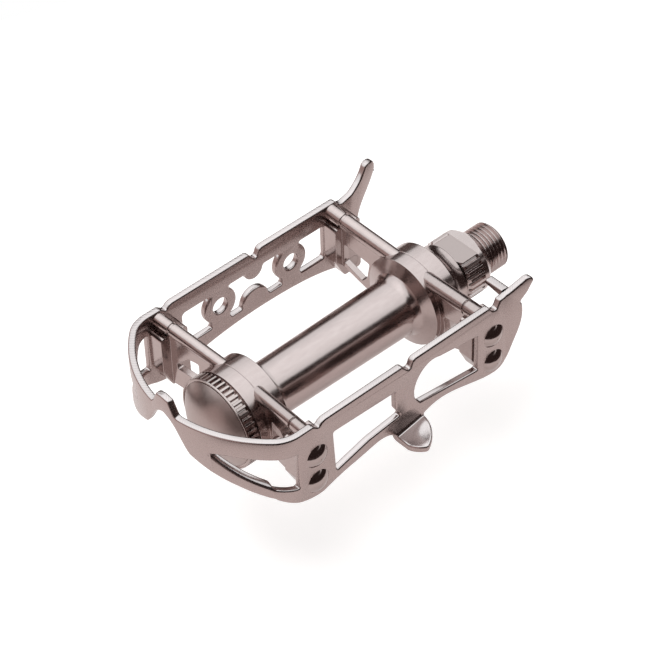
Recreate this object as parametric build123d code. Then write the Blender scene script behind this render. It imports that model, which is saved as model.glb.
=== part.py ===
from build123d import *
import math
import os

# A left-hand quill road pedal, in millimetres.
# The spindle lies along Y and its thread points to +Y, into the crank arm.
# The origin is on the spindle's axis at the shoulder that meets the crank arm.
# +X points to the heel side, where the kick tab is, and +Z points up.

# Clearances
running_gap = 0.3
ball_gap = 0.05
thread_gap = 0.05
rivet_gap = 0.05
press_gap = 0.02
key_gap = 0.05
same_place = 0.02

# Reach of the blocks that cut, past everything
far_up = 60.0
far_out = 80.0

# Spindle, crank end
thread_radius = 7.14
thread_length = 8.6
thread_chamfer = 0.5
centre_hole_radius = 1.6
centre_hole_depth = 1.5
collar_radius = 9.9
collar_length = 8.8
collar_chamfer_width = 1.5
collar_chamfer_length = 1.9
collar_end_radius = 7.9
wrench_flats = 15.0
flats_start = 3.0
flute_count = 28
flute_depth = 0.8
flute_start = 3.4
flute_tip_share = 0.4
tooth_slope_share = 0.12

# Spindle, inside the body
shaft_outboard_radius = 4.4
spindle_end_radius = 3.5
spindle_end_chamfer = 0.5
spindle_thread_run = 1.5
spindle_past_nut = 1.0
key_width = 1.6
key_depth = 0.8

# Bearings
ball_radius = 1.5875
ball_side_gap = 0.12
inner_pitch_radius = 6.9
outer_pitch_radius = 6.4
cup_floor = 1.4
cup_floor_reach = 0.7
cup_lip = 1.8
cup_wall = 0.8425
inner_cup_depth = 2.3

# Cone, washer and nut on the outboard end
cone_nose = 1.4
cone_collar = 0.6
cone_hex_length = 2.2
hex_across_flats = 11.0
washer_radius = 6.2
washer_thickness = 1.0
nut_length = 3.6
nut_chamfer = 0.5

# Seal inside the inboard drum's mouth
seal_drop = 0.2
seal_thickness = 1.0
seal_length = 1.8
seal_wall = 1.2

# Body, turned parts
mouth_y = -10.7
mouth_wall = 0.35
mouth_round = 6.9
inboard_drum_radius = 13.83
inboard_drum_start_y = -17.0
inboard_drum_end_y = -26.6
outboard_drum_radius = 14.0
outboard_drum_start_y = -81.6
outboard_drum_end_y = -91.8
barrel_inboard_radius = 8.7
barrel_outboard_radius = 8.2
inboard_shoulder_length = 1.6
outboard_shoulder_length = 1.4
shoulder_foot_rise = 1.2
shoulder_foot_length = 2.7
barrel_bore_radius = 6.6
scribe_depth = 0.15
scribe_width = 0.3
inboard_scribe_y = -22.2
outboard_scribe_y = -87.2

# Dust cap
cap_thread_radius = 11.6
cap_thread_length = 3.2
cap_bore_radius = 9.8
cap_neck_radius = 12.6
cap_neck_length = 0.6
knurl_radius = 14.0
knurl_depth = 1.1
knurl_length = 3.0
knurl_count = 50
knurl_tip_share = 0.36
cap_rim_radius = 13.9
cap_rim_length = 0.5
cap_rim_width = 0.4
cap_groove_width = 0.5
cap_groove_depth = 0.3
cap_crown_height = 5.4
cap_wall = 1.5

# Arms: a round rod over a flat web, with a pad at the end.
# Towards the middle a rod drops, and leads inboard.
rod_height = 14.8
rod_root_x = 3.0
rod_drop = 5.0
inboard_arm_y = -26.2
outboard_arm_y = -90.0
inboard_arm_lead = 3.4
outboard_arm_lead = 4.0
inboard_pad_y = -24.3
outboard_pad_y = -88.7
inboard_rod_radius = 2.35
outboard_rod_radius = 2.0
rod_groove_width = 0.8
rod_groove_depth = 0.35
web_thickness = 2.0
web_root_depth = 6.0
pad_thickness = 4.8
pad_width = 9.4
pad_top_z = 12.0
pad_bottom_z = -6.5
pad_corner = 1.2
pad_cut_width = 3.0
pad_cut_height = 6.0

# Webs in the front view, as (distance from the middle, height)
inboard_web_bottom = [(16.6, -6.3), (25.4, -2.2)]
outboard_web_bottom = [(19.4, -6.1), (25.4, -5.6)]

# Openings in the webs: first as (distance from the drum, height), then as (distance from the pad, height)
inboard_hole_at_drum = [(1.2, 3.5), (2.2, -2.5), (4.1, -4.3)]
inboard_hole_at_pad = [(0.6, -0.8), (0.6, 6.2)]
outboard_hole_at_drum = [(0.9, 7.0), (1.0, 0.0)]
outboard_hole_at_pad = [(2.0, 0.7), (1.8, 2.6), (6.2, 6.8)]
web_hole_corner = 0.7

# Cage strip, seen from above
cage_half_width = 32.0
strip_thickness = 2.2
nose_y = -113.2
nose_radius = 40.0
corner_radius = 10.0
flare_start_y = -18.0
flare_out = 2.3

# Cage strip, seen from the side, as heights and distances along Y
plate_top_z = 17.5
horn_tip_y = -6.9
outboard_notch = [(-89.0, 0.0), (-87.0, -1.6), (-86.0, -0.5), (-84.7, 0.0)]
middle_notch = [(-57.1, 0.0), (-55.0, -2.6), (-54.0, -2.6), (-53.3, -0.7), (-52.2, 0.0)]
inboard_notch = [(-24.4, 0.0), (-23.2, -1.9), (-21.6, -2.3)]
rear_horn_root = (-20.4, 17.8)
rear_horn_top = [(-16.3, 18.6), (-13.4, 20.0), (-12.0, 20.6)]
rear_horn_tip = [(-12.0, 20.6), (-10.3, 20.9), (-9.2, 19.3)]
rear_horn_inner = [(-9.2, 19.3), (-11.0, 16.0), (-13.3, 13.4), (-12.7, 12.4)]
rear_plate_end = [(-12.7, 12.4), (-12.9, 5.5), (-15.6, -1.8), (-18.2, -6.9), (-23.1, -8.4)]
front_horn_top = [(-18.2, 16.1), (-15.2, 17.5), (-11.4, 21.7)]
front_horn_tip = [(-11.4, 21.7), (-8.7, 21.9), (-6.9, 18.4)]
front_horn_inner = [(-6.9, 18.4), (-8.7, 15.2), (-11.9, 11.4), (-14.9, 6.7)]
front_plate_end = [(-15.6, -1.8), (-18.2, -6.9), (-23.1, -8.4)]
rear_bottom_inboard = [(-23.1, -8.4), (-31.7, -6.5), (-45.0, -4.4), (-49.3, -5.65)]
rear_bottom_outboard = [(-59.5, -7.3), (-62.8, -4.95), (-71.3, -5.6), (-79.5, -7.1), (-86.0, -9.0)]
front_bottom = [(-23.1, -8.4), (-31.7, -6.0), (-47.0, -4.4), (-60.0, -4.5), (-74.0, -6.1), (-86.0, -9.0)]
corner_bottom = [(-86.0, -9.0), (-92.0, -8.3), (-97.5, -5.8)]
wrap_joint_bottom_z = -3.9
rear_window_outboard = [(-82.0, 10.5), (-59.7, 9.6), (-59.6, 3.3), (-57.8, 0.0), (-69.3, -1.2), (-81.3, -4.4)]
rear_window_bottom = [(-50.4, -0.2), (-39.4, -1.6), (-28.6, -3.0), (-28.6, 9.7), (-43.3, 11.9)]
rear_window_round = [(-43.3, 11.9), (-49.2, 11.2), (-52.6, 4.4), (-50.4, -0.2)]
rear_window_corner = 0.6

# Front plate's window with its two drilled bosses
front_window_low = (-81.6, -1.0)
front_window_high = (-29.1, 10.9)
front_window_corner = 1.2
clip_hole_radius = 2.6
clip_hole_z = 5.4
clip_hole_spacing = 26.3
clip_hole_middle_y = -55.0
clip_boss_radius = 5.75
clip_boss_stem = 3.4
top_lobe_radius = 3.3
bottom_lobe_radius = 4.9
lobe_middle_y = -55.4

# Wrapped end, seen from the end, as (distance from the middle, height)
arch_top = [(0.0, 22.6), (2.5, 22.1), (4.6, 17.5)]
arch_bottom = [(0.0, 16.8), (2.6, 15.4), (5.8, 11.0), (8.7, 6.5)]
nose_bottom = [(8.7, 6.5), (14.5, 3.4), (21.8, 0.1)]
nose_window_tip = [(19.5, 11.0), (14.9, 10.1), (14.9, 9.3)]
nose_window_low = [(22.0, 4.4)]
nose_window_joint_z = -0.1
nose_window_top_z = 11.0
nose_window_end_y = -94.3
nose_window_end_z = -1.9

# Kick tab on the rear plate, and the small tab at its horn's root
tab_reach = 8.9
tab_tip_y = -56.2
tab_inboard_bulge = (6.2, -52.1)
tab_outboard_bulge = (5.2, -59.2)
tab_bend_radius = 2.1
stop_reach = 6.8
stop_width = 2.7
stop_middle_y = -16.15
stop_top_z = 17.9
stop_tip_height = 1.6
stop_root_height = 2.9

# Rivets
rivet_radius = 2.0
rivet_head_radius = 3.7
rivet_head_height = 1.6
inboard_rivet_y = -22.7
outboard_rivet_y = -88.0
upper_rivet_z = 6.0
lower_rivet_z = -3.4

# Worked out from the sizes above
race_radius = ball_radius + ball_gap
seal_top_y = mouth_y - seal_drop
collar_end_y = seal_top_y + running_gap
neck_radius = inner_pitch_radius
cup_radius = max(inner_pitch_radius, outer_pitch_radius) + race_radius + cup_wall
bore_radius = cup_radius + press_gap
mouth_radius = bore_radius + mouth_wall
foot_round = (shoulder_foot_rise ** 2 + shoulder_foot_length ** 2) / (2 * shoulder_foot_rise)
inner_lip_y = mouth_y - inner_cup_depth
inner_ball_y = inner_lip_y - cup_lip
inner_seat_y = inner_ball_y - race_radius - cup_floor
cap_counterbore_y = outboard_drum_end_y + cap_thread_length + running_gap
outer_lip_y = cap_counterbore_y + running_gap
outer_ball_y = outer_lip_y + cup_lip
outer_seat_y = outer_ball_y + race_radius + cup_floor
cone_hex_y = outer_ball_y - race_radius - cone_collar
cone_end_y = cone_hex_y - cone_hex_length
washer_end_y = cone_end_y - washer_thickness
nut_end_y = washer_end_y - nut_length
spindle_end_y = nut_end_y - spindle_past_nut
knurl_start_y = outboard_drum_end_y - cap_neck_length
knurl_end_y = knurl_start_y - knurl_length
cap_rim_end_y = knurl_end_y - cap_rim_length
cap_end_y = cap_rim_end_y - cap_crown_height
strip_inner_x = cage_half_width - strip_thickness
pad_inner_x = strip_inner_x - pad_thickness
nose_centre_y = nose_y + nose_radius
corner_x = cage_half_width - corner_radius
corner_reach = math.sqrt((nose_radius - corner_radius) ** 2 - corner_x ** 2)
corner_y = nose_centre_y - corner_reach
corner_turn = math.atan2(corner_reach, corner_x)
wrap_joint_x = corner_x + corner_radius * math.cos(corner_turn)
wrap_joint_y = corner_y - corner_radius * math.sin(corner_turn)


def turned(*edges):
    """Solid of revolution about the spindle's axis, from edges drawn as (radius, y)."""
    outline = [edge for line in edges for edge in line.edges()]
    return revolve(Face(Wire(outline)), Axis.Y)


def turned_points(*points):
    return turned(Polyline(*points, close=True))


def along_x(outline, start, end):
    """Prism along X of an outline drawn as (y, z)."""
    return extrude(Plane.YZ.offset(start) * outline, end - start, dir=(1, 0, 0))


def along_y(outline, start, end):
    """Prism along Y of an outline drawn as (x, z), from start outboard to end."""
    return extrude(Plane.XZ.offset(-start) * outline, start - end, dir=(0, -1, 0))


def outline_of(*lines):
    edges = [edge for line in lines for edge in line.edges()]
    return Face(Wire(edges))


def toothed_disc(root, tip, count, tip_share):
    """Disc with straight teeth, drawn flat."""
    pitch = 2 * math.pi / count
    slope = tooth_slope_share
    corners = ((0, tip), (tip_share, tip), (tip_share + slope, root), (1 - slope, root))
    points = []
    for tooth in range(count):
        for turn, radius in corners:
            angle = (tooth + turn) * pitch
            points.append((radius * math.cos(angle), radius * math.sin(angle)))
    return Face(Wire(Polyline(*points, close=True).edges()))


def mirrored_x(solid):
    return mirror(solid, Plane.YZ)


def both_sides(solid):
    return solid + mirrored_x(solid)


def hexagon(across_flats):
    return RegularPolygon(across_flats / 2, 6, major_radius=False)


def dome_middle(rim, base, apex):
    """Height at half the rim's radius, on the round dome from its base to its apex."""
    rise = apex - base
    ball = (rim ** 2 + rise ** 2) / (2 * rise)
    sag = abs(ball) - math.sqrt(ball ** 2 - (rim / 2) ** 2)
    return apex - math.copysign(sag, rise)


def make_cup(ball_y, seat_y, lip_y, pitch_radius, facing):
    """Pressed cup whose race holds the balls; facing is +1 when it opens inboard."""
    wall = pitch_radius + race_radius
    floor_y = ball_y - facing * race_radius
    middle = race_radius * math.sqrt(0.5)
    hole = pitch_radius - cup_floor_reach
    sides = Polyline(
        (wall, ball_y), (wall, lip_y), (cup_radius, lip_y), (cup_radius, seat_y),
        (hole, seat_y), (hole, floor_y), (pitch_radius, floor_y))
    race = ThreePointArc(
        (pitch_radius, floor_y),
        (pitch_radius + middle, ball_y - facing * middle),
        (wall, ball_y))
    return turned(sides, race)


def make_balls(ball_y, pitch_radius):
    """Ring of loose balls round the axis."""
    count = int(2 * math.pi * pitch_radius / (2 * ball_radius + ball_side_gap))
    balls = []
    for place in range(count):
        angle = 2 * math.pi * place / count
        x = pitch_radius * math.cos(angle)
        z = pitch_radius * math.sin(angle)
        balls.append(Pos(x, ball_y, z) * Sphere(ball_radius))
    return Compound(balls)


def race_arc(ball_y, pitch_radius, facing):
    """Inner race, from the shaft's side of the ball to the side that takes the thrust."""
    middle = race_radius * math.sqrt(0.5)
    return ThreePointArc(
        (pitch_radius - race_radius, ball_y),
        (pitch_radius - middle, ball_y + facing * middle),
        (pitch_radius, ball_y + facing * race_radius))


def make_spindle():
    shaft_radius = inner_pitch_radius - race_radius
    end_thread_y = outer_ball_y + cone_nose + spindle_thread_run
    thread_end = Polyline(
        (0, thread_length - centre_hole_depth),
        (centre_hole_radius, thread_length),
        (thread_radius - thread_chamfer, thread_length),
        (thread_radius, thread_length - thread_chamfer),
        (thread_radius, 0),
        (collar_radius - collar_chamfer_width, 0),
        (collar_radius, -collar_chamfer_length),
        (collar_radius, -collar_length),
        (collar_end_radius, collar_end_y),
        (neck_radius, collar_end_y),
        (neck_radius, inner_ball_y + race_radius))
    race = race_arc(inner_ball_y, inner_pitch_radius, 1)
    shaft = Polyline(
        (shaft_radius, inner_ball_y),
        (shaft_radius, inner_seat_y),
        (shaft_outboard_radius, end_thread_y + spindle_thread_run),
        (spindle_end_radius, end_thread_y),
        (spindle_end_radius, spindle_end_y + spindle_end_chamfer),
        (spindle_end_radius - spindle_end_chamfer, spindle_end_y),
        (0, spindle_end_y),
        (0, thread_length - centre_hole_depth))
    spindle = turned(thread_end, race, shaft)
    spindle -= make_flutes()
    spindle -= make_wrench_flats()
    spindle -= make_keyway(key_width, spindle_end_radius + key_depth)
    return spindle


def make_flutes():
    """What is cut away between the flutes on the collar's round sides."""
    ring = Circle(collar_radius + flute_depth)
    teeth = toothed_disc(collar_radius - flute_depth, collar_radius, flute_count, flute_tip_share)
    return along_y(ring - teeth, -flute_start, collar_end_y)


def make_wrench_flats():
    """What is cut away over both flats, with a slope up to the round shoulder at the crank's side."""
    half = wrench_flats / 2
    side = Polyline(
        (-flats_start, half), (far_up - flats_start, half + far_up),
        (collar_end_y - running_gap, half + far_up), (collar_end_y - running_gap, half), close=True)
    upper = along_x(outline_of(side), -far_up, far_up)
    return upper + mirror(upper, Plane.XY)


def make_keyway(width, reach):
    """Keyway along the outboard thread, which stops the washer from turning."""
    bottom = spindle_end_radius - key_depth
    slot = Pos(0, (bottom + reach) / 2) * Rectangle(width, reach - bottom)
    return along_y(slot, cone_end_y, spindle_end_y)


def make_cone():
    race = race_arc(outer_ball_y, outer_pitch_radius, -1)
    hole = spindle_end_radius + thread_gap
    sides = Polyline(
        (outer_pitch_radius, outer_ball_y - race_radius),
        (outer_pitch_radius, cone_hex_y),
        (hole, cone_hex_y),
        (hole, outer_ball_y + cone_nose),
        (outer_pitch_radius - race_radius, outer_ball_y + cone_nose),
        (outer_pitch_radius - race_radius, outer_ball_y))
    hexagonal_end = along_y(hexagon(hex_across_flats) - Circle(hole), cone_hex_y, cone_end_y)
    return turned(sides, race) + hexagonal_end


def make_washer():
    hole = spindle_end_radius + thread_gap
    disc = Circle(washer_radius) - Circle(hole)
    tongue_bottom = spindle_end_radius - key_depth + key_gap
    tongue_width = key_width - 2 * key_gap
    tongue_middle = (tongue_bottom + washer_radius) / 2
    tongue = Pos(0, tongue_middle) * Rectangle(tongue_width, washer_radius - tongue_bottom)
    inside = tongue & Circle(washer_radius)
    return along_y(disc + inside, cone_end_y, washer_end_y)


def make_nut():
    hole = Circle(spindle_end_radius + thread_gap)
    nut = along_y(hexagon(hex_across_flats) - hole, washer_end_y, nut_end_y)
    corner = hex_across_flats / math.sqrt(3)
    bevel = turned_points(
        (0, washer_end_y),
        (corner, washer_end_y),
        (corner, nut_end_y + nut_chamfer),
        (corner - 2 * nut_chamfer, nut_end_y),
        (0, nut_end_y))
    return nut & bevel


def make_seal():
    """Cup-shaped ring pressed into the bore, just inside the drum's mouth."""
    hole = neck_radius + running_gap
    wall = bore_radius - press_gap
    return turned_points(
        (hole, seal_top_y),
        (wall, seal_top_y),
        (wall, seal_top_y - seal_length),
        (wall - seal_wall, seal_top_y - seal_length),
        (wall - seal_wall, seal_top_y - seal_thickness),
        (hole, seal_top_y - seal_thickness))


def make_cap():
    """Screw cap with a plain neck, a knurled ring, a narrow rim, a groove and a round crown."""
    plug_end = outboard_drum_end_y + cap_thread_length
    root = knurl_radius - knurl_depth
    groove_outside = cap_rim_radius - cap_rim_width
    crown_radius = groove_outside - cap_groove_width
    body = Polyline(
        (cap_bore_radius, plug_end),
        (cap_thread_radius, plug_end),
        (cap_thread_radius, outboard_drum_end_y),
        (cap_neck_radius, outboard_drum_end_y),
        (cap_neck_radius, knurl_start_y),
        (root, knurl_start_y),
        (root, knurl_end_y),
        (cap_rim_radius, knurl_end_y),
        (cap_rim_radius, cap_rim_end_y),
        (groove_outside, cap_rim_end_y),
        (groove_outside, cap_rim_end_y + cap_groove_depth),
        (crown_radius, cap_rim_end_y + cap_groove_depth),
        (crown_radius, cap_rim_end_y))
    crown_middle = dome_middle(crown_radius, cap_rim_end_y, cap_end_y)
    crown = ThreePointArc((crown_radius, cap_rim_end_y), (crown_radius / 2, crown_middle), (0, cap_end_y))
    inside_end = cap_end_y + cap_wall
    axis = Line((0, cap_end_y), (0, inside_end))
    inside_middle = dome_middle(cap_bore_radius, knurl_end_y, inside_end)
    inside = ThreePointArc(
        (0, inside_end), (cap_bore_radius / 2, inside_middle), (cap_bore_radius, knurl_end_y))
    bore = Line((cap_bore_radius, knurl_end_y), (cap_bore_radius, plug_end))
    cap = turned(body, crown, axis, inside, bore)
    teeth = toothed_disc(root, knurl_radius, knurl_count, knurl_tip_share) - Circle(cap_thread_radius)
    return cap + along_y(teeth, knurl_start_y, knurl_end_y)


def scribe(radius, y):
    """Fine turned line round a drum."""
    return turned_points(
        (radius + scribe_depth, y + scribe_width),
        (radius + scribe_depth, y - scribe_width),
        (radius - scribe_depth, y))


def make_barrel():
    """Barrel and both drums, turned outside, with a line scribed round each drum, still without the bore."""
    foot_start_y = inboard_drum_end_y - inboard_shoulder_length
    foot_end_y = foot_start_y - shoulder_foot_length
    outer_foot_start_y = outboard_drum_start_y + outboard_shoulder_length
    outer_foot_end_y = outer_foot_start_y + shoulder_foot_length
    foot_radius = barrel_inboard_radius + shoulder_foot_rise
    outer_foot_radius = barrel_outboard_radius + shoulder_foot_rise
    mouth = RadiusArc((mouth_radius, mouth_y), (inboard_drum_radius, inboard_drum_start_y), -mouth_round)
    drum = Polyline(
        (inboard_drum_radius, inboard_drum_start_y),
        (inboard_drum_radius, inboard_drum_end_y),
        (foot_radius, foot_start_y))
    foot = RadiusArc((foot_radius, foot_start_y), (barrel_inboard_radius, foot_end_y), -foot_round)
    barrel = Line((barrel_inboard_radius, foot_end_y), (barrel_outboard_radius, outer_foot_end_y))
    outer_foot = RadiusArc(
        (barrel_outboard_radius, outer_foot_end_y), (outer_foot_radius, outer_foot_start_y), -foot_round)
    rest = Polyline(
        (outer_foot_radius, outer_foot_start_y),
        (outboard_drum_radius, outboard_drum_start_y),
        (outboard_drum_radius, outboard_drum_end_y),
        (0, outboard_drum_end_y),
        (0, mouth_y),
        (mouth_radius, mouth_y))
    turned_body = turned(mouth, drum, foot, barrel, outer_foot, rest)
    turned_body -= scribe(inboard_drum_radius, inboard_scribe_y)
    turned_body -= scribe(outboard_drum_radius, outboard_scribe_y)
    return turned_body


def make_bore():
    counterbore_radius = cap_thread_radius + thread_gap
    return turned_points(
        (0, mouth_y),
        (bore_radius, mouth_y),
        (bore_radius, inner_seat_y),
        (barrel_bore_radius, inner_seat_y),
        (barrel_bore_radius, outer_seat_y),
        (bore_radius, outer_seat_y),
        (bore_radius, cap_counterbore_y),
        (counterbore_radius, cap_counterbore_y),
        (counterbore_radius, outboard_drum_end_y),
        (0, outboard_drum_end_y))


def drop_at(x):
    """How far a rod's axis has dropped at a distance from the middle."""
    return rod_drop * (strip_inner_x - x) / (strip_inner_x - rod_root_x)


def rod_point(arm_y, lead, x):
    """Point on a rod's axis at a distance from the middle."""
    return Vector(x, arm_y + lead * drop_at(x) / rod_drop, rod_height - drop_at(x))


def make_rod(arm_y, lead, radius):
    """Straight round rod from inside the drum to the plate, with a fine groove over the pad's edge."""
    start = rod_point(arm_y, lead, rod_root_x)
    end = rod_point(arm_y, lead, cage_half_width)
    run = end - start
    from_start = (Align.CENTER, Align.CENTER, Align.MIN)
    rod = Plane(origin=start, z_dir=run) * Cylinder(radius, run.length, align=from_start)
    ring = Cylinder(2 * radius, rod_groove_width) - Cylinder(radius - rod_groove_depth, rod_groove_width)
    return rod - Plane(origin=rod_point(arm_y, lead, pad_inner_x), z_dir=run) * ring


def make_web(arm_y, lead, bottom, hole_at_drum, hole_at_pad, drum_radius):
    """Flat web in line with the rod above it, with its rounded opening."""
    root_x = drum_radius - web_root_depth
    plate = Polyline(
        (root_x, rod_height - drop_at(root_x)), (root_x, bottom[0][1]), *bottom,
        (cage_half_width, bottom[-1][1]), (cage_half_width, rod_height), close=True)
    corners = [(drum_radius + reach, z) for reach, z in hole_at_drum]
    corners += [(pad_inner_x - reach, z) for reach, z in hole_at_pad]
    opening = fillet(Polygon(*corners, align=None).vertices(), web_hole_corner)
    web = along_y(outline_of(plate) - opening, web_thickness / 2, -web_thickness / 2)
    turn = math.degrees(math.atan2(lead, strip_inner_x - rod_root_x))
    return Pos(strip_inner_x, arm_y, 0) * Rot(0, 0, -turn) * Pos(-strip_inner_x, 0, 0) * web


def make_pad(pad_y):
    """Pad that the plate is riveted to, with its lower outboard corner cut away."""
    low = pad_y - pad_width / 2
    high = pad_y + pad_width / 2
    flat = Polygon(
        (low, pad_bottom_z + pad_cut_height), (low + pad_cut_width, pad_bottom_z),
        (high, pad_bottom_z), (high, pad_top_z), (low, pad_top_z), align=None)
    return along_x(fillet(flat.vertices(), pad_corner), pad_inner_x, strip_inner_x)


def rivet_holes():
    """Bores through the pads and the plates, on both sides."""
    bars = []
    for y in (inboard_rivet_y, outboard_rivet_y):
        for z in (upper_rivet_z, lower_rivet_z):
            bore = Pos(y, z) * Circle(rivet_radius + rivet_gap)
            bars.append(along_x(bore, pad_inner_x, far_out))
            bars.append(along_x(bore, -far_out, -pad_inner_x))
    return bars


def make_body():
    body = make_barrel()
    arms = [
        make_rod(inboard_arm_y, inboard_arm_lead, inboard_rod_radius),
        make_rod(outboard_arm_y, outboard_arm_lead, outboard_rod_radius),
        make_web(
            inboard_arm_y, inboard_arm_lead, inboard_web_bottom,
            inboard_hole_at_drum, inboard_hole_at_pad, inboard_drum_radius),
        make_web(
            outboard_arm_y, outboard_arm_lead, outboard_web_bottom,
            outboard_hole_at_drum, outboard_hole_at_pad, outboard_drum_radius),
        make_pad(inboard_pad_y),
        make_pad(outboard_pad_y)]
    beyond_strip = Pos(strip_inner_x, 0, 0) * Box(
        far_out, far_out * 4, far_out, align=(Align.MIN, Align.CENTER, Align.CENTER))
    for arm in arms:
        body += both_sides(arm - beyond_strip)
    body -= make_bore()
    for bore in rivet_holes():
        body -= bore
    return body


def plan(inset):
    """Area inside the strip's outer face, seen from above, taken in by the inset."""
    side = cage_half_width - inset
    round_corner = corner_radius - inset
    round_nose = nose_radius - inset
    half = corner_turn / 2
    joint_x = corner_x + round_corner * math.cos(corner_turn)
    joint_y = corner_y - round_corner * math.sin(corner_turn)
    corner_middle = (corner_x + round_corner * math.cos(half), corner_y - round_corner * math.sin(half))
    past_the_outer_face = 2 * inset
    open_y = horn_tip_y + past_the_outer_face
    flare_rate = flare_out / (horn_tip_y - flare_start_y)
    open_x = side + flare_rate * (open_y - flare_start_y)
    right = [
        Line((open_x, open_y), (side, flare_start_y)),
        Line((side, flare_start_y), (side, corner_y)),
        ThreePointArc((side, corner_y), corner_middle, (joint_x, joint_y))]
    nose = ThreePointArc((joint_x, joint_y), (0, nose_centre_y - round_nose), (-joint_x, joint_y))
    left = [
        ThreePointArc((-joint_x, joint_y), (-corner_middle[0], corner_middle[1]), (-side, corner_y)),
        Line((-side, corner_y), (-side, flare_start_y)),
        Line((-side, flare_start_y), (-open_x, open_y)),
        Line((-open_x, open_y), (open_x, open_y))]
    return outline_of(*right, nose, *left)


def notch(points):
    return [(y, plate_top_z + drop) for y, drop in points]


def rear_horn():
    """Rear horn's outline and the plate's inboard end, from the last notch to the bottom edge."""
    return [
        Line(notch(inboard_notch)[-1], rear_horn_root),
        Spline(rear_horn_root, *rear_horn_top),
        ThreePointArc(*rear_horn_tip),
        Polyline(*rear_horn_inner),
        Spline(*rear_plate_end)]


def front_horn():
    """The same for the front horn, which is longer and smooth down its inner side."""
    return [
        Spline(notch(inboard_notch)[-1], *front_horn_top),
        ThreePointArc(*front_horn_tip),
        Spline(*front_horn_inner, *front_plate_end)]


def plate_outline(horn_lines, bottom_lines):
    """Side view of a plate from the wrapped end's joint to its horn."""
    top_start = (wrap_joint_y, plate_top_z)
    top = Polyline(
        top_start,
        *notch(outboard_notch),
        *notch(middle_notch),
        *notch(inboard_notch))
    joint = (wrap_joint_y, wrap_joint_bottom_z)
    corner = Spline(*corner_bottom, joint)
    close = Line(joint, top_start)
    return outline_of(top, *horn_lines, *bottom_lines, corner, close)


def rear_windows():
    outboard = fillet(Polygon(*rear_window_outboard, align=None).vertices(), rear_window_corner)
    inboard = outline_of(Polyline(*rear_window_bottom), Spline(*rear_window_round))
    return outboard + inboard


def front_window():
    """One long window, left standing round two drilled bosses and two lobes."""
    low_y, low_z = front_window_low
    high_y, high_z = front_window_high
    middle = Pos((low_y + high_y) / 2, (low_z + high_z) / 2)
    window = middle * RectangleRounded(high_y - low_y, high_z - low_z, front_window_corner)
    window_height = high_z - low_z
    for boss_y in clip_hole_places():
        window -= Pos(boss_y, clip_hole_z) * Circle(clip_boss_radius)
        window -= Pos(boss_y, (low_z + high_z) / 2) * Rectangle(2 * clip_boss_stem, 2 * window_height)
    window -= Pos(lobe_middle_y, high_z) * Circle(top_lobe_radius)
    window -= Pos(lobe_middle_y, low_z) * Circle(bottom_lobe_radius)
    return window


def clip_hole_places():
    return [clip_hole_middle_y + side * clip_hole_spacing / 2 for side in (-1, 1)]


def nose_window_side():
    """The part of the wrapped end's window that lies round the corner, in the side view."""
    return outline_of(Polyline(
        (wrap_joint_y, nose_window_joint_z), (nose_window_end_y, nose_window_end_z),
        (nose_window_end_y, nose_window_top_z), (wrap_joint_y, nose_window_top_z), close=True))


def nose_window_end():
    """The rest of that window, in the end view."""
    return outline_of(Polyline(
        (wrap_joint_x, nose_window_top_z), *nose_window_tip, *nose_window_low,
        (wrap_joint_x, nose_window_joint_z), close=True))


def nose_outline():
    """Half of the wrapped end, in the end view."""
    return outline_of(
        Line((0, arch_bottom[0][1]), (0, arch_top[0][1])),
        Polyline(*arch_top, (wrap_joint_x, plate_top_z), (wrap_joint_x, wrap_joint_bottom_z)),
        Polyline((wrap_joint_x, wrap_joint_bottom_z), *reversed(nose_bottom)),
        Spline(*reversed(arch_bottom)))


def make_kick_tab():
    """Leaf bent outwards under the rear plate."""
    inboard_y, inboard_z = rear_bottom_inboard[-1]
    outboard_y, outboard_z = rear_bottom_outboard[0]
    root = cage_half_width
    tip = (root + tab_reach, tab_tip_y)
    leaf = outline_of(
        Line((strip_inner_x, inboard_y), (root, inboard_y)),
        ThreePointArc((root, inboard_y), (root + tab_inboard_bulge[0], tab_inboard_bulge[1]), tip),
        ThreePointArc(tip, (root + tab_outboard_bulge[0], tab_outboard_bulge[1]), (root, outboard_y)),
        Line((root, outboard_y), (strip_inner_x, outboard_y)),
        Line((strip_inner_x, outboard_y), (strip_inner_x, inboard_y)))
    leaf_plane = Plane.XY.offset(outboard_z - 2 * strip_thickness)
    block = extrude(leaf_plane * leaf, 4 * strip_thickness, dir=(0, 0, 1))
    band = Polygon(
        (inboard_y, inboard_z), (outboard_y, outboard_z),
        (outboard_y, outboard_z - strip_thickness), (inboard_y, inboard_z - strip_thickness), align=None)
    tab = block & along_x(band, strip_inner_x, root + far_out)
    bend = tab.edges().filter_by(lambda edge: abs(edge.center().X - strip_inner_x) < same_place)
    lowest = bend.sort_by(Axis.Z)[0]
    return fillet(lowest, tab_bend_radius)


def make_stop_tab():
    """Small tab bent inwards at the root of the rear horn."""
    root_x = strip_inner_x + strip_thickness / 2
    tip_x = strip_inner_x - stop_reach
    side = Polygon(
        (root_x, stop_top_z), (tip_x, stop_top_z),
        (tip_x, stop_top_z - stop_tip_height), (root_x, stop_top_z - stop_root_height), align=None)
    return along_y(side, stop_middle_y + stop_width / 2, stop_middle_y - stop_width / 2)


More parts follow.
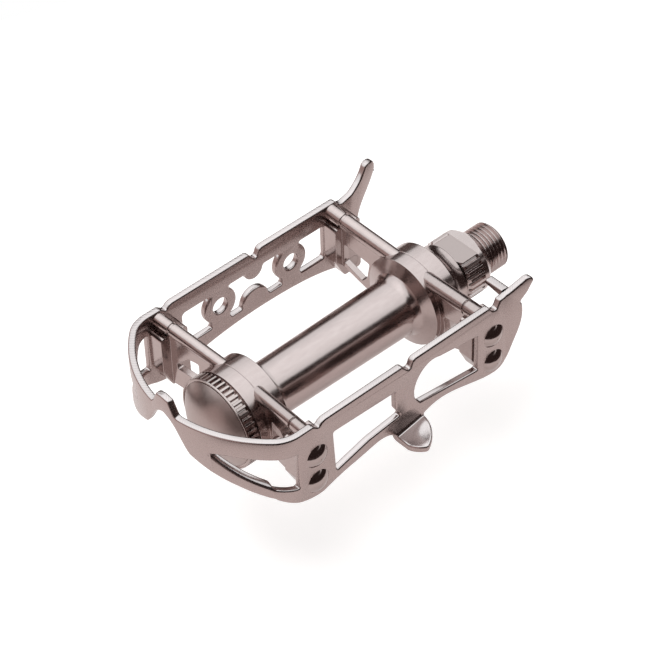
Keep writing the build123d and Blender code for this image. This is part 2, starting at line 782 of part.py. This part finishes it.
def make_strip():
    wall = plan(0) - plan(strip_thickness)
    blank = extrude(Plane.XY.offset(-far_up / 2) * wall, far_up, dir=(0, 0, 1))
    rear_lines = [
        Spline(*rear_bottom_inboard),
        Line(rear_bottom_inboard[-1], rear_bottom_outboard[0]),
        Spline(*rear_bottom_outboard)]
    rear_side = plate_outline(rear_horn(), rear_lines) - rear_windows() - nose_window_side()
    front_side = plate_outline(front_horn(), [Spline(*front_bottom)]) - front_window() - nose_window_side()
    for hole_y in clip_hole_places():
        front_side -= Pos(hole_y, clip_hole_z) * Circle(clip_hole_radius)
    rear = blank & along_x(rear_side, 0, far_out)
    front = blank & along_x(front_side, -far_out, 0)
    half_end = nose_outline() - nose_window_end()
    end_block = along_y(half_end, wrap_joint_y, -far_out * 2)
    end = blank & both_sides(end_block)
    strip = rear + front + end + make_kick_tab() + make_stop_tab()
    for bore in rivet_holes():
        strip -= bore
    return strip


def make_rivet(y, z):
    """Round-headed rivet through the plate and the pad, flush on the inside."""
    top_x = cage_half_width + rivet_head_height
    head_middle = dome_middle(rivet_head_radius, cage_half_width, top_x)
    head = ThreePointArc(
        (cage_half_width, rivet_head_radius), (head_middle, rivet_head_radius / 2), (top_x, 0))
    shank = Polyline(
        (top_x, 0),
        (pad_inner_x, 0),
        (pad_inner_x, rivet_radius),
        (cage_half_width, rivet_radius),
        (cage_half_width, rivet_head_radius))
    rivet = revolve(outline_of(head, shank), Axis.X)
    return Pos(0, y, z) * rivet


def make_rivets():
    rivets = {}
    number = 0
    for y in (inboard_rivet_y, outboard_rivet_y):
        for z in (upper_rivet_z, lower_rivet_z):
            number += 1
            rear = make_rivet(y, z)
            rivets["rear_rivet_%d" % number] = rear
            rivets["front_rivet_%d" % number] = mirrored_x(rear)
    return rivets


nodes = {
    "spindle": make_spindle(),
    "inner_seal": make_seal(),
    "inner_cup": make_cup(inner_ball_y, inner_seat_y, inner_lip_y, inner_pitch_radius, 1),
    "inner_balls": make_balls(inner_ball_y, inner_pitch_radius),
    "outer_cup": make_cup(outer_ball_y, outer_seat_y, outer_lip_y, outer_pitch_radius, -1),
    "outer_balls": make_balls(outer_ball_y, outer_pitch_radius),
    "adjusting_cone": make_cone(),
    "lock_washer": make_washer(),
    "lock_nut": make_nut(),
    "dust_cap": make_cap(),
    "pedal_body": make_body(),
    "cage_strip": make_strip(),
}
nodes.update(make_rivets())

os.makedirs("parts", exist_ok=True)
for name, shape in nodes.items():
    export_step(shape, "parts/%s.step" % name)
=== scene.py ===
import math

import bpy
from mathutils import Matrix, Vector


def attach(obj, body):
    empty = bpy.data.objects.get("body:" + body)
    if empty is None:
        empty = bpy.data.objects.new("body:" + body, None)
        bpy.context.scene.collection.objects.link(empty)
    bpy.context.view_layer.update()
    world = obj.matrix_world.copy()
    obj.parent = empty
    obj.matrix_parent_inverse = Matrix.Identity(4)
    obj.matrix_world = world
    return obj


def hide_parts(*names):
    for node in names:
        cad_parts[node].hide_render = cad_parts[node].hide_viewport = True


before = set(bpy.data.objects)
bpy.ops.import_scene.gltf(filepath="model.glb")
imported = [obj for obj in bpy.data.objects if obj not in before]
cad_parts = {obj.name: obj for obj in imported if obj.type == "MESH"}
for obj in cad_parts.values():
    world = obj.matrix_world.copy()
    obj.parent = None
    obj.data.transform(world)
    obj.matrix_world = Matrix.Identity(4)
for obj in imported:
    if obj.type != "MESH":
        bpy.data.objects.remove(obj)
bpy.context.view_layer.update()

# Everything is in metres, in the pedal's own frame: the spindle along Y, +X to the kick tab, +Z up.
MM = 0.001

# Camera, from the photograph's viewing angle, with its angles in degrees and its lens in millimetres
CAMERA_PLACE = (0.389907, -0.393459, 0.498972)
CAMERA_AZIMUTH = 48.897
CAMERA_ELEVATION = 43.627
CAMERA_ROLL = -2.106
CAMERA_LENS = 140.74
CAMERA_NEAREST = 0.01
SENSOR_WIDTH = 36.0

# Floor, and the round part of it that looks lit in metal on the kick tab's side
FLOOR_Z = -44 * MM
FLOOR_RADIUS = 0.26
FLOOR_CORNERS = 96
FLOOR_MIDDLE = (16 * MM, -62 * MM)
FLOOR_COLOUR = (0.82, 0.80, 0.79)
FLOOR_GLOW = 0.42
FLOOR_LIT_RADIUS = 134 * MM
FLOOR_LIT_FADE = 10 * MM
FLOOR_SIDE_FADE = 30 * MM

# Light, and the studio as the metal mirrors it
WHITE = (1.0, 1.0, 1.0)
BLACK = (0.0, 0.0, 0.0)
AMBIENT = (0.78, 0.78, 0.78)
FLOOR_IN_METAL = (0.40, 0.33, 0.32)
SOFTBOX_IN_METAL = (1.95, 2.15, 2.20)
DARK_IN_METAL = (0.040, 0.026, 0.024)
TOE_SIDE_IN_METAL = (0.62, 0.50, 0.48)
STRIP_LIGHT_IN_METAL = (1.0, 1.0, 1.0)
LAMP_PLACE = (-0.35, -0.25, 0.75)
LAMP_AIM = (0, -50 * MM, 0)
LAMP_SIZE = 0.5
LAMP_POWER = 3.0

# Sides of the studio: the way to each over the floor, then the level and softness of its edge
TOE_WAY = (-0.67, -0.74)
TOE_SIDE = (0.30, 0.25)
CAMERA_WAY = (0.77, -0.64)
CAMERA_SIDE = (0.25, 0.35)
CRANK_WAY = (0.64, 0.77)
CRANK_SIDE = (0.20, 0.20)

# Heights in the studio, from 0 at eye level to 1 overhead, with the softness of each edge
SOFTBOX_EDGE = (0.36, 0.06)
SOFTBOX_RISE = (0.75, 0.25)
SOFTBOX_RIM_SHARE = 0.75
SOFTBOX_LIFT_AT_CAMERA = 0.42
SOFTBOX_LIFT_AT_CRANK = 0.12
STRIP_LIGHT_HEIGHT = 0.33
STRIP_LIGHT_EDGE = (0.045, 0.02)

# Colours of the finishes, each pair mixed by the grain of its surface
CAGE_COLOURS = ((0.385, 0.300, 0.285), (0.430, 0.345, 0.330))
# Painted highlight: the lighter colour laid on the strip's upward-facing surfaces
CAGE_TOP_HIGHLIGHT_COLOUR = (0.47, 0.40, 0.39)
BODY_COLOURS = ((0.38, 0.298, 0.284), (0.45, 0.366, 0.350))
CAP_COLOURS = ((0.39, 0.31, 0.295), (0.45, 0.37, 0.35))
SPINDLE_COLOURS = ((0.42, 0.335, 0.32), (0.48, 0.40, 0.385))
WRENCH_FLAT_COLOUR = (0.345, 0.275, 0.262)
RIVET_COLOURS = ((0.36, 0.285, 0.27), (0.42, 0.345, 0.33))
BEARING_COLOURS = ((0.42, 0.40, 0.39), (0.52, 0.50, 0.49))
BALL_COLOURS = ((0.60, 0.58, 0.57), (0.68, 0.66, 0.65))
SEAL_COLOURS = ((0.012, 0.010, 0.010), (0.030, 0.026, 0.025))
SEAL_SHEEN = 0.15

# Places where a finish changes
MARKED_ABOVE_Z = 16.5 * MM
MARK_PITCH = 0.9 * MM
BARREL_MIDDLE_Y = -55 * MM
BARREL_HALF_LENGTH = 24 * MM
CROWN_START = 95.8 * MM

# Pedal thread, 9/16 in with 20 turns to the inch, left-hand, its flats given as shares of the pitch
THREAD_RADIUS = 7.14 * MM
THREAD_PITCH = 1.27 * MM
THREAD_DEPTH = 0.75 * MM
THREAD_ROOT_SHARE = 0.08
THREAD_CREST_SHARE = 0.12
THREAD_START_Y = 0.5 * MM
THREAD_END_Y = 8.1 * MM
THREAD_SPARE_TURNS = 3
THREAD_STEPS = 72

# Meshes: what is merged, laid flat and shaded smooth
WELD = 0.002 * MM
FLAT_ANGLE = math.radians(0.5)
SMOOTH_ANGLE = math.radians(32)

# Rounding of edges
STRIP_ROUNDING = 0.6 * MM
STRIP_ROUNDING_STEPS = 4
STRIP_EDGE_ANGLE = math.radians(35)
BODY_ROUNDING = 0.25 * MM
TURNED_ROUNDING = 0.125 * MM
ROUNDING_SAMPLES = 6

# Sockets of a Mix node that mixes colours
MIX_SHARE = 0
MIX_FIRST = 6
MIX_SECOND = 7


class Reading:
    """A socket in a finish. Sums on it add Math nodes."""

    def __init__(self, finish, socket):
        self.finish = finish
        self.socket = socket

    def __add__(self, other):
        return self.finish.sum("ADD", self, other)

    def __sub__(self, other):
        return self.finish.sum("SUBTRACT", self, other)

    def __rsub__(self, other):
        return self.finish.sum("SUBTRACT", other, self)

    def __mul__(self, other):
        return self.finish.sum("MULTIPLY", self, other)

    __radd__ = __add__
    __rmul__ = __mul__

    def size(self):
        """The reading without its sign."""
        return self.finish.sum("ABSOLUTE", self)

    def wave(self):
        return self.finish.sum("SINE", self)

    def root(self):
        return self.finish.sum("SQRT", self)

    def above(self, level, softness):
        """Runs from 0 to 1 as the reading rises through the level."""
        return self.finish.node(
            "ShaderNodeMapRange", {"interpolation_type": "SMOOTHSTEP"},
            {"Value": self, "From Min": level - softness, "From Max": level + softness})["Result"]


class Finish:
    """A node tree under construction, of a material or of the world."""

    def __init__(self, tree):
        self.tree = tree

    def node(self, kind, settings=None, inputs=None):
        """Adds a node, sets it up, feeds its sockets and gives its outputs by name."""
        node = self.tree.nodes.new(kind)
        for name, value in (settings or {}).items():
            setattr(node, name, value)
        self.feed(node, inputs or {})
        return {output.name: Reading(self, output) for output in node.outputs if output.enabled}

    def feed(self, node, inputs):
        """Links a node's sockets to readings, or sets them to plain values."""
        for name, value in inputs.items():
            socket = node.inputs[name]
            if isinstance(value, Reading):
                self.tree.links.new(value.socket, socket)
            elif isinstance(value, tuple) and len(socket.default_value) == 4:
                socket.default_value = (*value, 1)
            else:
                socket.default_value = value

    def sum(self, operation, first, second=None):
        """One Math node, on one value or on two."""
        values = {0: first} if second is None else {0: first, 1: second}
        return self.node("ShaderNodeMath", {"operation": operation}, values)["Value"]

    def blend(self, share, first, second):
        """Colour that goes from the first to the second as the share goes from 0 to 1."""
        inputs = {MIX_SHARE: share, MIX_FIRST: first, MIX_SECOND: second}
        return self.node("ShaderNodeMix", {"data_type": "RGBA"}, inputs)["Result"]

    def parts(self, vector):
        """The X, Y and Z of a vector, as three readings."""
        parts = self.node("ShaderNodeSeparateXYZ", None, {"Vector": vector})
        return parts["X"], parts["Y"], parts["Z"]

    def rays(self):
        """Masks of the rays that see the studio straight, and of those that come off metal."""
        rays = self.node("ShaderNodeLightPath")
        return rays["Is Camera Ray"] + rays["Is Transmission Ray"], rays["Is Glossy Ray"]


class Surface(Finish):
    """A material with one principled shader, read by object coordinates."""

    def __init__(self, name, metallic=1.0):
        self.material = bpy.data.materials.new(name)
        self.material.use_nodes = True
        super().__init__(self.material.node_tree)
        self.shader = self.tree.nodes["Principled BSDF"]
        self.feed(self.shader, {"Metallic": metallic})
        coordinates = self.node("ShaderNodeTexCoord")
        self.where = coordinates["Object"]
        self.facing = coordinates["Normal"]

    def noise(self, scale, detail=2, where=None):
        """Soft random pattern from 0 to 1, its scale in grains to the metre."""
        inputs = {"Vector": where or self.where, "Scale": scale, "Detail": detail}
        return self.node("ShaderNodeTexNoise", None, inputs)["Fac"]

    def streaks(self, across, along, detail=2):
        """Noise with its grains to the metre given across and along the spindle."""
        inputs = {"Vector": self.where, "Scale": (across, along, across)}
        stretched = self.node("ShaderNodeMapping", None, inputs)["Vector"]
        return self.noise(1, detail, stretched)

    def coat(self, colour, roughness):
        self.feed(self.shader, {"Base Color": colour, "Roughness": roughness})

    def relief(self, height, depth, rounding=0.0):
        """Bump of the height reading, with its depth and the rounding of sharp edges in metres."""
        inputs = {"Height": height, "Distance": depth, "Strength": 1.0}
        if rounding:
            inputs["Normal"] = self.node(
                "ShaderNodeBevel", {"samples": ROUNDING_SAMPLES}, {"Radius": rounding})["Normal"]
        self.feed(self.shader, {"Normal": self.node("ShaderNodeBump", None, inputs)["Normal"]})


def cage_finish():
    """Satin alloy strip, with a painted highlight of lighter colour on its upward-facing surfaces,
    mostly its top edges, and fine marks across its top.
    """
    metal = Surface("satin_cage_alloy")
    x, y, z = metal.parts(metal.where)
    up = metal.parts(metal.facing)[2]
    grain = metal.noise(scale=1500, detail=3)
    drift = metal.noise(scale=90)
    # Painted highlight: surfaces that face up, mostly the top edges, get a lighter colour, and a
    # smoother finish too
    edge = up.above(0.6, softness=0.2)
    colour = metal.blend(edge, metal.blend(drift, *CAGE_COLOURS), CAGE_TOP_HIGHLIGHT_COLOUR)
    on_top = up.above(0.9, softness=0.05) * z.above(MARKED_ABOVE_Z, softness=0.3 * MM)
    marks = ((x.size() + y) * (2 * math.pi / MARK_PITCH)).wave() * on_top
    metal.coat(colour, roughness=0.24 - edge * 0.10 + grain * 0.06)
    metal.relief(grain * 0.4 + marks * 0.8, depth=0.02 * MM)
    return metal.material


def body_finish():
    """Polished casting, a little uneven, with turned lines round its drums."""
    metal = Surface("polished_body_alloy")
    y = metal.parts(metal.where)[1]
    swell = metal.noise(scale=260)
    lines = metal.streaks(across=30, along=4000)
    grain = metal.streaks(across=900, along=250, detail=3)
    on_drums = (y - BARREL_MIDDLE_Y).size().above(BARREL_HALF_LENGTH, softness=3 * MM)
    height = swell * 0.5 + lines * on_drums * 0.30 + grain * 0.12
    metal.coat(metal.blend(grain, *BODY_COLOURS), roughness=0.14 + grain * 0.10)
    metal.relief(height, depth=0.05 * MM, rounding=BODY_ROUNDING)
    return metal.material


def cap_finish():
    """Bright knurled ring with a duller crown."""
    metal = Surface("polished_cap_alloy")
    outboard = 0 - metal.parts(metal.where)[1]
    on_crown = outboard.above(CROWN_START, softness=0.1 * MM)
    swell = metal.noise(scale=300)
    grain = metal.noise(scale=1400, detail=3)
    metal.coat(metal.blend(grain, *CAP_COLOURS), roughness=0.14 + grain * 0.10 + on_crown * 0.18)
    metal.relief(swell * 0.5 + grain * 0.1, depth=0.05 * MM, rounding=TURNED_ROUNDING)
    return metal.material


def spindle_finish():
    """Plated steel with turned lines, duller on its two wrench flats."""
    metal = Surface("plated_spindle_steel")
    swell = metal.noise(scale=350)
    lines = metal.streaks(across=30, along=5000)
    on_flat = metal.parts(metal.facing)[2].size().above(0.985, softness=0.01)
    colour = metal.blend(on_flat, metal.blend(swell, *SPINDLE_COLOURS), WRENCH_FLAT_COLOUR)
    metal.coat(colour, roughness=0.12 + lines * 0.10 + on_flat * 0.14)
    metal.relief(swell * 0.4 + lines * 0.15, depth=0.04 * MM, rounding=TURNED_ROUNDING)
    return metal.material


def rivet_finish():
    """Polished steel heads with a slight ripple."""
    metal = Surface("polished_rivet_steel")
    swell = metal.noise(scale=700)
    metal.coat(metal.blend(swell, *RIVET_COLOURS), roughness=0.08 + swell * 0.06)
    metal.relief(swell, depth=0.03 * MM)
    return metal.material


def bearing_finish():
    """Ground steel of the cups, cone, washer and nut, with fine lines round the spindle."""
    metal = Surface("ground_bearing_steel")
    lines = metal.streaks(across=40, along=5000)
    metal.coat(metal.blend(lines, *BEARING_COLOURS), roughness=0.18 + lines * 0.12)
    metal.relief(lines, depth=0.01 * MM)
    return metal.material


def ball_finish():
    """Polished steel balls under a film of oil."""
    metal = Surface("polished_ball_steel")
    film = metal.noise(scale=900)
    metal.coat(metal.blend(film, *BALL_COLOURS), roughness=0.05 + film * 0.05)
    return metal.material


def seal_finish():
    """Matt black rubber."""
    rubber = Surface("black_seal_rubber", metallic=0.0)
    grain = rubber.noise(scale=2500, detail=3)
    rubber.coat(rubber.blend(grain, *SEAL_COLOURS), roughness=0.55 + grain * 0.2)
    rubber.feed(rubber.shader, {"Specular IOR Level": SEAL_SHEEN})
    rubber.relief(grain, depth=0.02 * MM)
    return rubber.material


def pick(piece):
    """Makes a piece the only one selected."""
    bpy.ops.object.select_all(action="DESELECT")
    piece.select_set(True)
    bpy.context.view_layer.objects.active = piece


def open_up(piece):
    """Opens a piece for editing, with all of it selected."""
    pick(piece)
    bpy.ops.object.mode_set(mode="EDIT")
    bpy.ops.mesh.select_all(action="SELECT")


def close_up():
    """Closes the piece that is open."""
    bpy.ops.object.mode_set(mode="OBJECT")


def shape(piece, kind, settings):
    """Puts a modifier on a piece, sets it up and applies it."""
    pick(piece)
    bpy.ops.object.modifier_add(type=kind)
    modifier = piece.modifiers[-1]
    for name, value in settings.items():
        setattr(modifier, name, value)
    bpy.ops.object.modifier_apply(modifier=modifier.name)


def copy_of(node, name):
    """Merged copy of a solid's mesh, to be worked on as a piece."""
    piece = bpy.data.objects.new(name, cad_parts[node].data.copy())
    bpy.context.scene.collection.objects.link(piece)
    open_up(piece)
    bpy.ops.mesh.customdata_custom_splitnormals_clear()
    bpy.ops.mesh.remove_doubles(threshold=WELD)
    bpy.ops.mesh.dissolve_limited(angle_limit=FLAT_ANGLE)
    close_up()
    return piece


def fit_out(piece, node, body, material):
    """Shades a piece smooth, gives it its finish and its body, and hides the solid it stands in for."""
    pick(piece)
    bpy.ops.object.shade_smooth_by_angle(angle=SMOOTH_ANGLE)
    piece.data.materials.clear()
    piece.data.materials.append(material)
    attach(piece, body)
    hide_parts(node)


def make_rounded_strip():
    """The cage strip with its pressed edges rounded over."""
    strip = copy_of("cage_strip", "rounded_cage_strip")
    shape(strip, "BEVEL", {
        "width": STRIP_ROUNDING,
        "segments": STRIP_ROUNDING_STEPS,
        "limit_method": "ANGLE",
        "angle_limit": STRIP_EDGE_ANGLE,
        "use_clamp_overlap": False,
        "loop_slide": False,
        "miter_outer": "MITER_ARC"})
    fit_out(strip, "cage_strip", "pedal", cage_finish())


def trim(piece, y, crank_side):
    """Cuts a piece across the spindle, closes the cut and keeps the crank's side or the other."""
    open_up(piece)
    bpy.ops.mesh.bisect(
        plane_co=(0, y, 0), plane_no=(0, 1, 0), use_fill=True,
        clear_inner=crank_side, clear_outer=not crank_side)
    close_up()


def make_thread():
    """Left-hand thread: its profile is drawn by extruding one point, then wound round the axis."""
    root_radius = THREAD_RADIUS - THREAD_DEPTH
    flank_share = (1 - THREAD_ROOT_SHARE - THREAD_CREST_SHARE) / 2
    bpy.ops.object.select_all(action="DESELECT")
    bpy.ops.mesh.primitive_plane_add(size=THREAD_PITCH, location=(0, 0, 0))
    thread = bpy.context.object
    thread.name = "pedal_thread"
    open_up(thread)
    bpy.ops.mesh.merge(type="CENTER")
    bpy.ops.transform.translate(value=(root_radius, THREAD_END_Y, 0))
    profile = (
        (0, THREAD_ROOT_SHARE),
        (THREAD_DEPTH, flank_share),
        (0, THREAD_CREST_SHARE),
        (-THREAD_DEPTH, flank_share))
    for out, along in profile:
        bpy.ops.mesh.extrude_region_move(
            TRANSFORM_OT_translate={"value": (out, along * THREAD_PITCH, 0)})
    close_up()
    turns = int((THREAD_END_Y - THREAD_START_Y) / THREAD_PITCH) + THREAD_SPARE_TURNS
    shape(thread, "SCREW", {
        "axis": "Y",
        "angle": 2 * math.pi,
        "screw_offset": -THREAD_PITCH,
        "iterations": turns,
        "steps": THREAD_STEPS,
        "render_steps": THREAD_STEPS,
        "use_merge_vertices": True,
        "merge_threshold": WELD})
    trim(thread, THREAD_END_Y, crank_side=False)
    trim(thread, THREAD_START_Y, crank_side=True)
    return thread


def make_threaded_spindle():
    """The spindle with its thread cut: the plain cylinder there gives way to the wound one."""
    spindle = copy_of("spindle", "threaded_spindle")
    tip = copy_of("spindle", "spindle_tip")
    trim(spindle, THREAD_START_Y, crank_side=False)
    trim(tip, THREAD_END_Y, crank_side=True)
    thread = make_thread()
    pick(spindle)
    tip.select_set(True)
    thread.select_set(True)
    bpy.ops.object.join()
    open_up(spindle)
    bpy.ops.mesh.normals_make_consistent(inside=False)
    close_up()
    fit_out(spindle, "spindle", "axle", spindle_finish())


def paint(nodes, material):
    """Gives one finish to solids that show as they are."""
    for node in nodes:
        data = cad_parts[node].data
        data.materials.clear()
        data.materials.append(material)


def make_floor():
    """Pale floor: white to the camera but for the pedal's shadow, and partly dark to metal."""
    bpy.ops.mesh.primitive_circle_add(
        vertices=FLOOR_CORNERS, radius=FLOOR_RADIUS, fill_type="NGON", location=(*FLOOR_MIDDLE, FLOOR_Z))
    floor = bpy.context.object
    floor.name = "pale_floor"
    paper = Surface("pale_floor", metallic=0.0)
    straight, mirrored = paper.rays()
    x, y = paper.parts(paper.where)[:2]
    from_middle = (x * x + y * y).root()
    unlit = from_middle.above(FLOOR_LIT_RADIUS, FLOOR_LIT_FADE) * x.above(0.0, FLOOR_SIDE_FADE)
    colour_in_metal = paper.blend(unlit, FLOOR_COLOUR, DARK_IN_METAL)
    glow_in_metal = paper.blend(unlit, FLOOR_IN_METAL, DARK_IN_METAL)
    paper.coat(paper.blend(mirrored, FLOOR_COLOUR, colour_in_metal), roughness=1.0)
    paper.feed(paper.shader, {
        "Specular IOR Level": 0.0,
        "Emission Color": paper.blend(mirrored, WHITE, glow_in_metal),
        "Emission Strength": (straight + mirrored) * FLOOR_GLOW})
    floor.data.materials.append(paper.material)


def studio_side(x, y, way, edge):
    """Mask of the studio's side that lies the given way over the floor."""
    return (x * way[0] + y * way[1]).above(*edge)


def make_world():
    """White to the camera; to metal, a softbox over dark sides with a strip light in them."""
    world = bpy.data.worlds.new("studio")
    bpy.context.scene.world = world
    world.use_nodes = True
    room = Finish(world.node_tree)
    straight, mirrored = room.rays()
    x, y, z = room.parts(room.node("ShaderNodeTexCoord")["Generated"])
    at_toe = studio_side(x, y, TOE_WAY, TOE_SIDE)
    at_camera = studio_side(x, y, CAMERA_WAY, CAMERA_SIDE)
    at_crank = studio_side(x, y, CRANK_WAY, CRANK_SIDE)
    height = z - at_camera * SOFTBOX_LIFT_AT_CAMERA - at_crank * SOFTBOX_LIFT_AT_CRANK
    rise = height.above(*SOFTBOX_RISE) * (1 - SOFTBOX_RIM_SHARE) + SOFTBOX_RIM_SHARE
    softbox = room.blend(rise, BLACK, SOFTBOX_IN_METAL)
    on_strip = 1 - (z - STRIP_LIGHT_HEIGHT).size().above(*STRIP_LIGHT_EDGE)
    strip_light = on_strip * at_crank * (1 - at_camera)
    dark_sides = room.blend(strip_light, DARK_IN_METAL, STRIP_LIGHT_IN_METAL)
    sides = room.blend(at_toe, dark_sides, TOE_SIDE_IN_METAL)
    studio = room.blend(height.above(*SOFTBOX_EDGE), sides, softbox)
    soft = room.blend(mirrored, AMBIENT, studio)
    room.feed(world.node_tree.nodes["Background"], {"Color": room.blend(straight, soft, WHITE)})


def make_lamp():
    """Soft round lamp for the shadow on the floor, left out of what metal mirrors."""
    bpy.ops.object.light_add(type="AREA", location=LAMP_PLACE)
    lamp = bpy.context.object
    lamp.name = "soft_lamp"
    lamp.data.shape = "DISK"
    lamp.data.size = LAMP_SIZE
    lamp.data.energy = LAMP_POWER
    lamp.visible_glossy = False
    aim = Vector(LAMP_AIM) - Vector(LAMP_PLACE)
    lamp.rotation_euler = aim.to_track_quat("-Z", "Y").to_euler()


def make_camera():
    """Camera at the photograph's viewing angle."""
    azimuth = math.radians(CAMERA_AZIMUTH)
    elevation = math.radians(CAMERA_ELEVATION)
    back = Vector((
        math.sin(azimuth) * math.cos(elevation),
        -math.cos(azimuth) * math.cos(elevation),
        math.sin(elevation)))
    level = Vector((math.cos(azimuth), math.sin(azimuth), 0))
    right = Matrix.Rotation(math.radians(CAMERA_ROLL), 3, back) @ level
    up = back.cross(right)
    turn = Matrix((right, up, back)).transposed()
    data = bpy.data.cameras.new("camera")
    data.sensor_width = SENSOR_WIDTH
    data.lens = CAMERA_LENS
    data.clip_start = CAMERA_NEAREST
    camera = bpy.data.objects.new("camera", data)
    camera.matrix_world = Matrix.Translation(CAMERA_PLACE) @ turn.to_4x4()
    bpy.context.scene.collection.objects.link(camera)
    bpy.context.scene.camera = camera


make_rounded_strip()
make_threaded_spindle()
paint(("inner_cup", "outer_cup", "adjusting_cone", "lock_washer", "lock_nut"), bearing_finish())
paint(("inner_balls", "outer_balls"), ball_finish())
paint([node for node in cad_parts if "rivet" in node], rivet_finish())
paint(["inner_seal"], seal_finish())
paint(["dust_cap"], cap_finish())
paint(["pedal_body"], body_finish())

bpy.context.scene.view_settings.view_transform = "Standard"
make_floor()
make_world()
make_lamp()
make_camera()
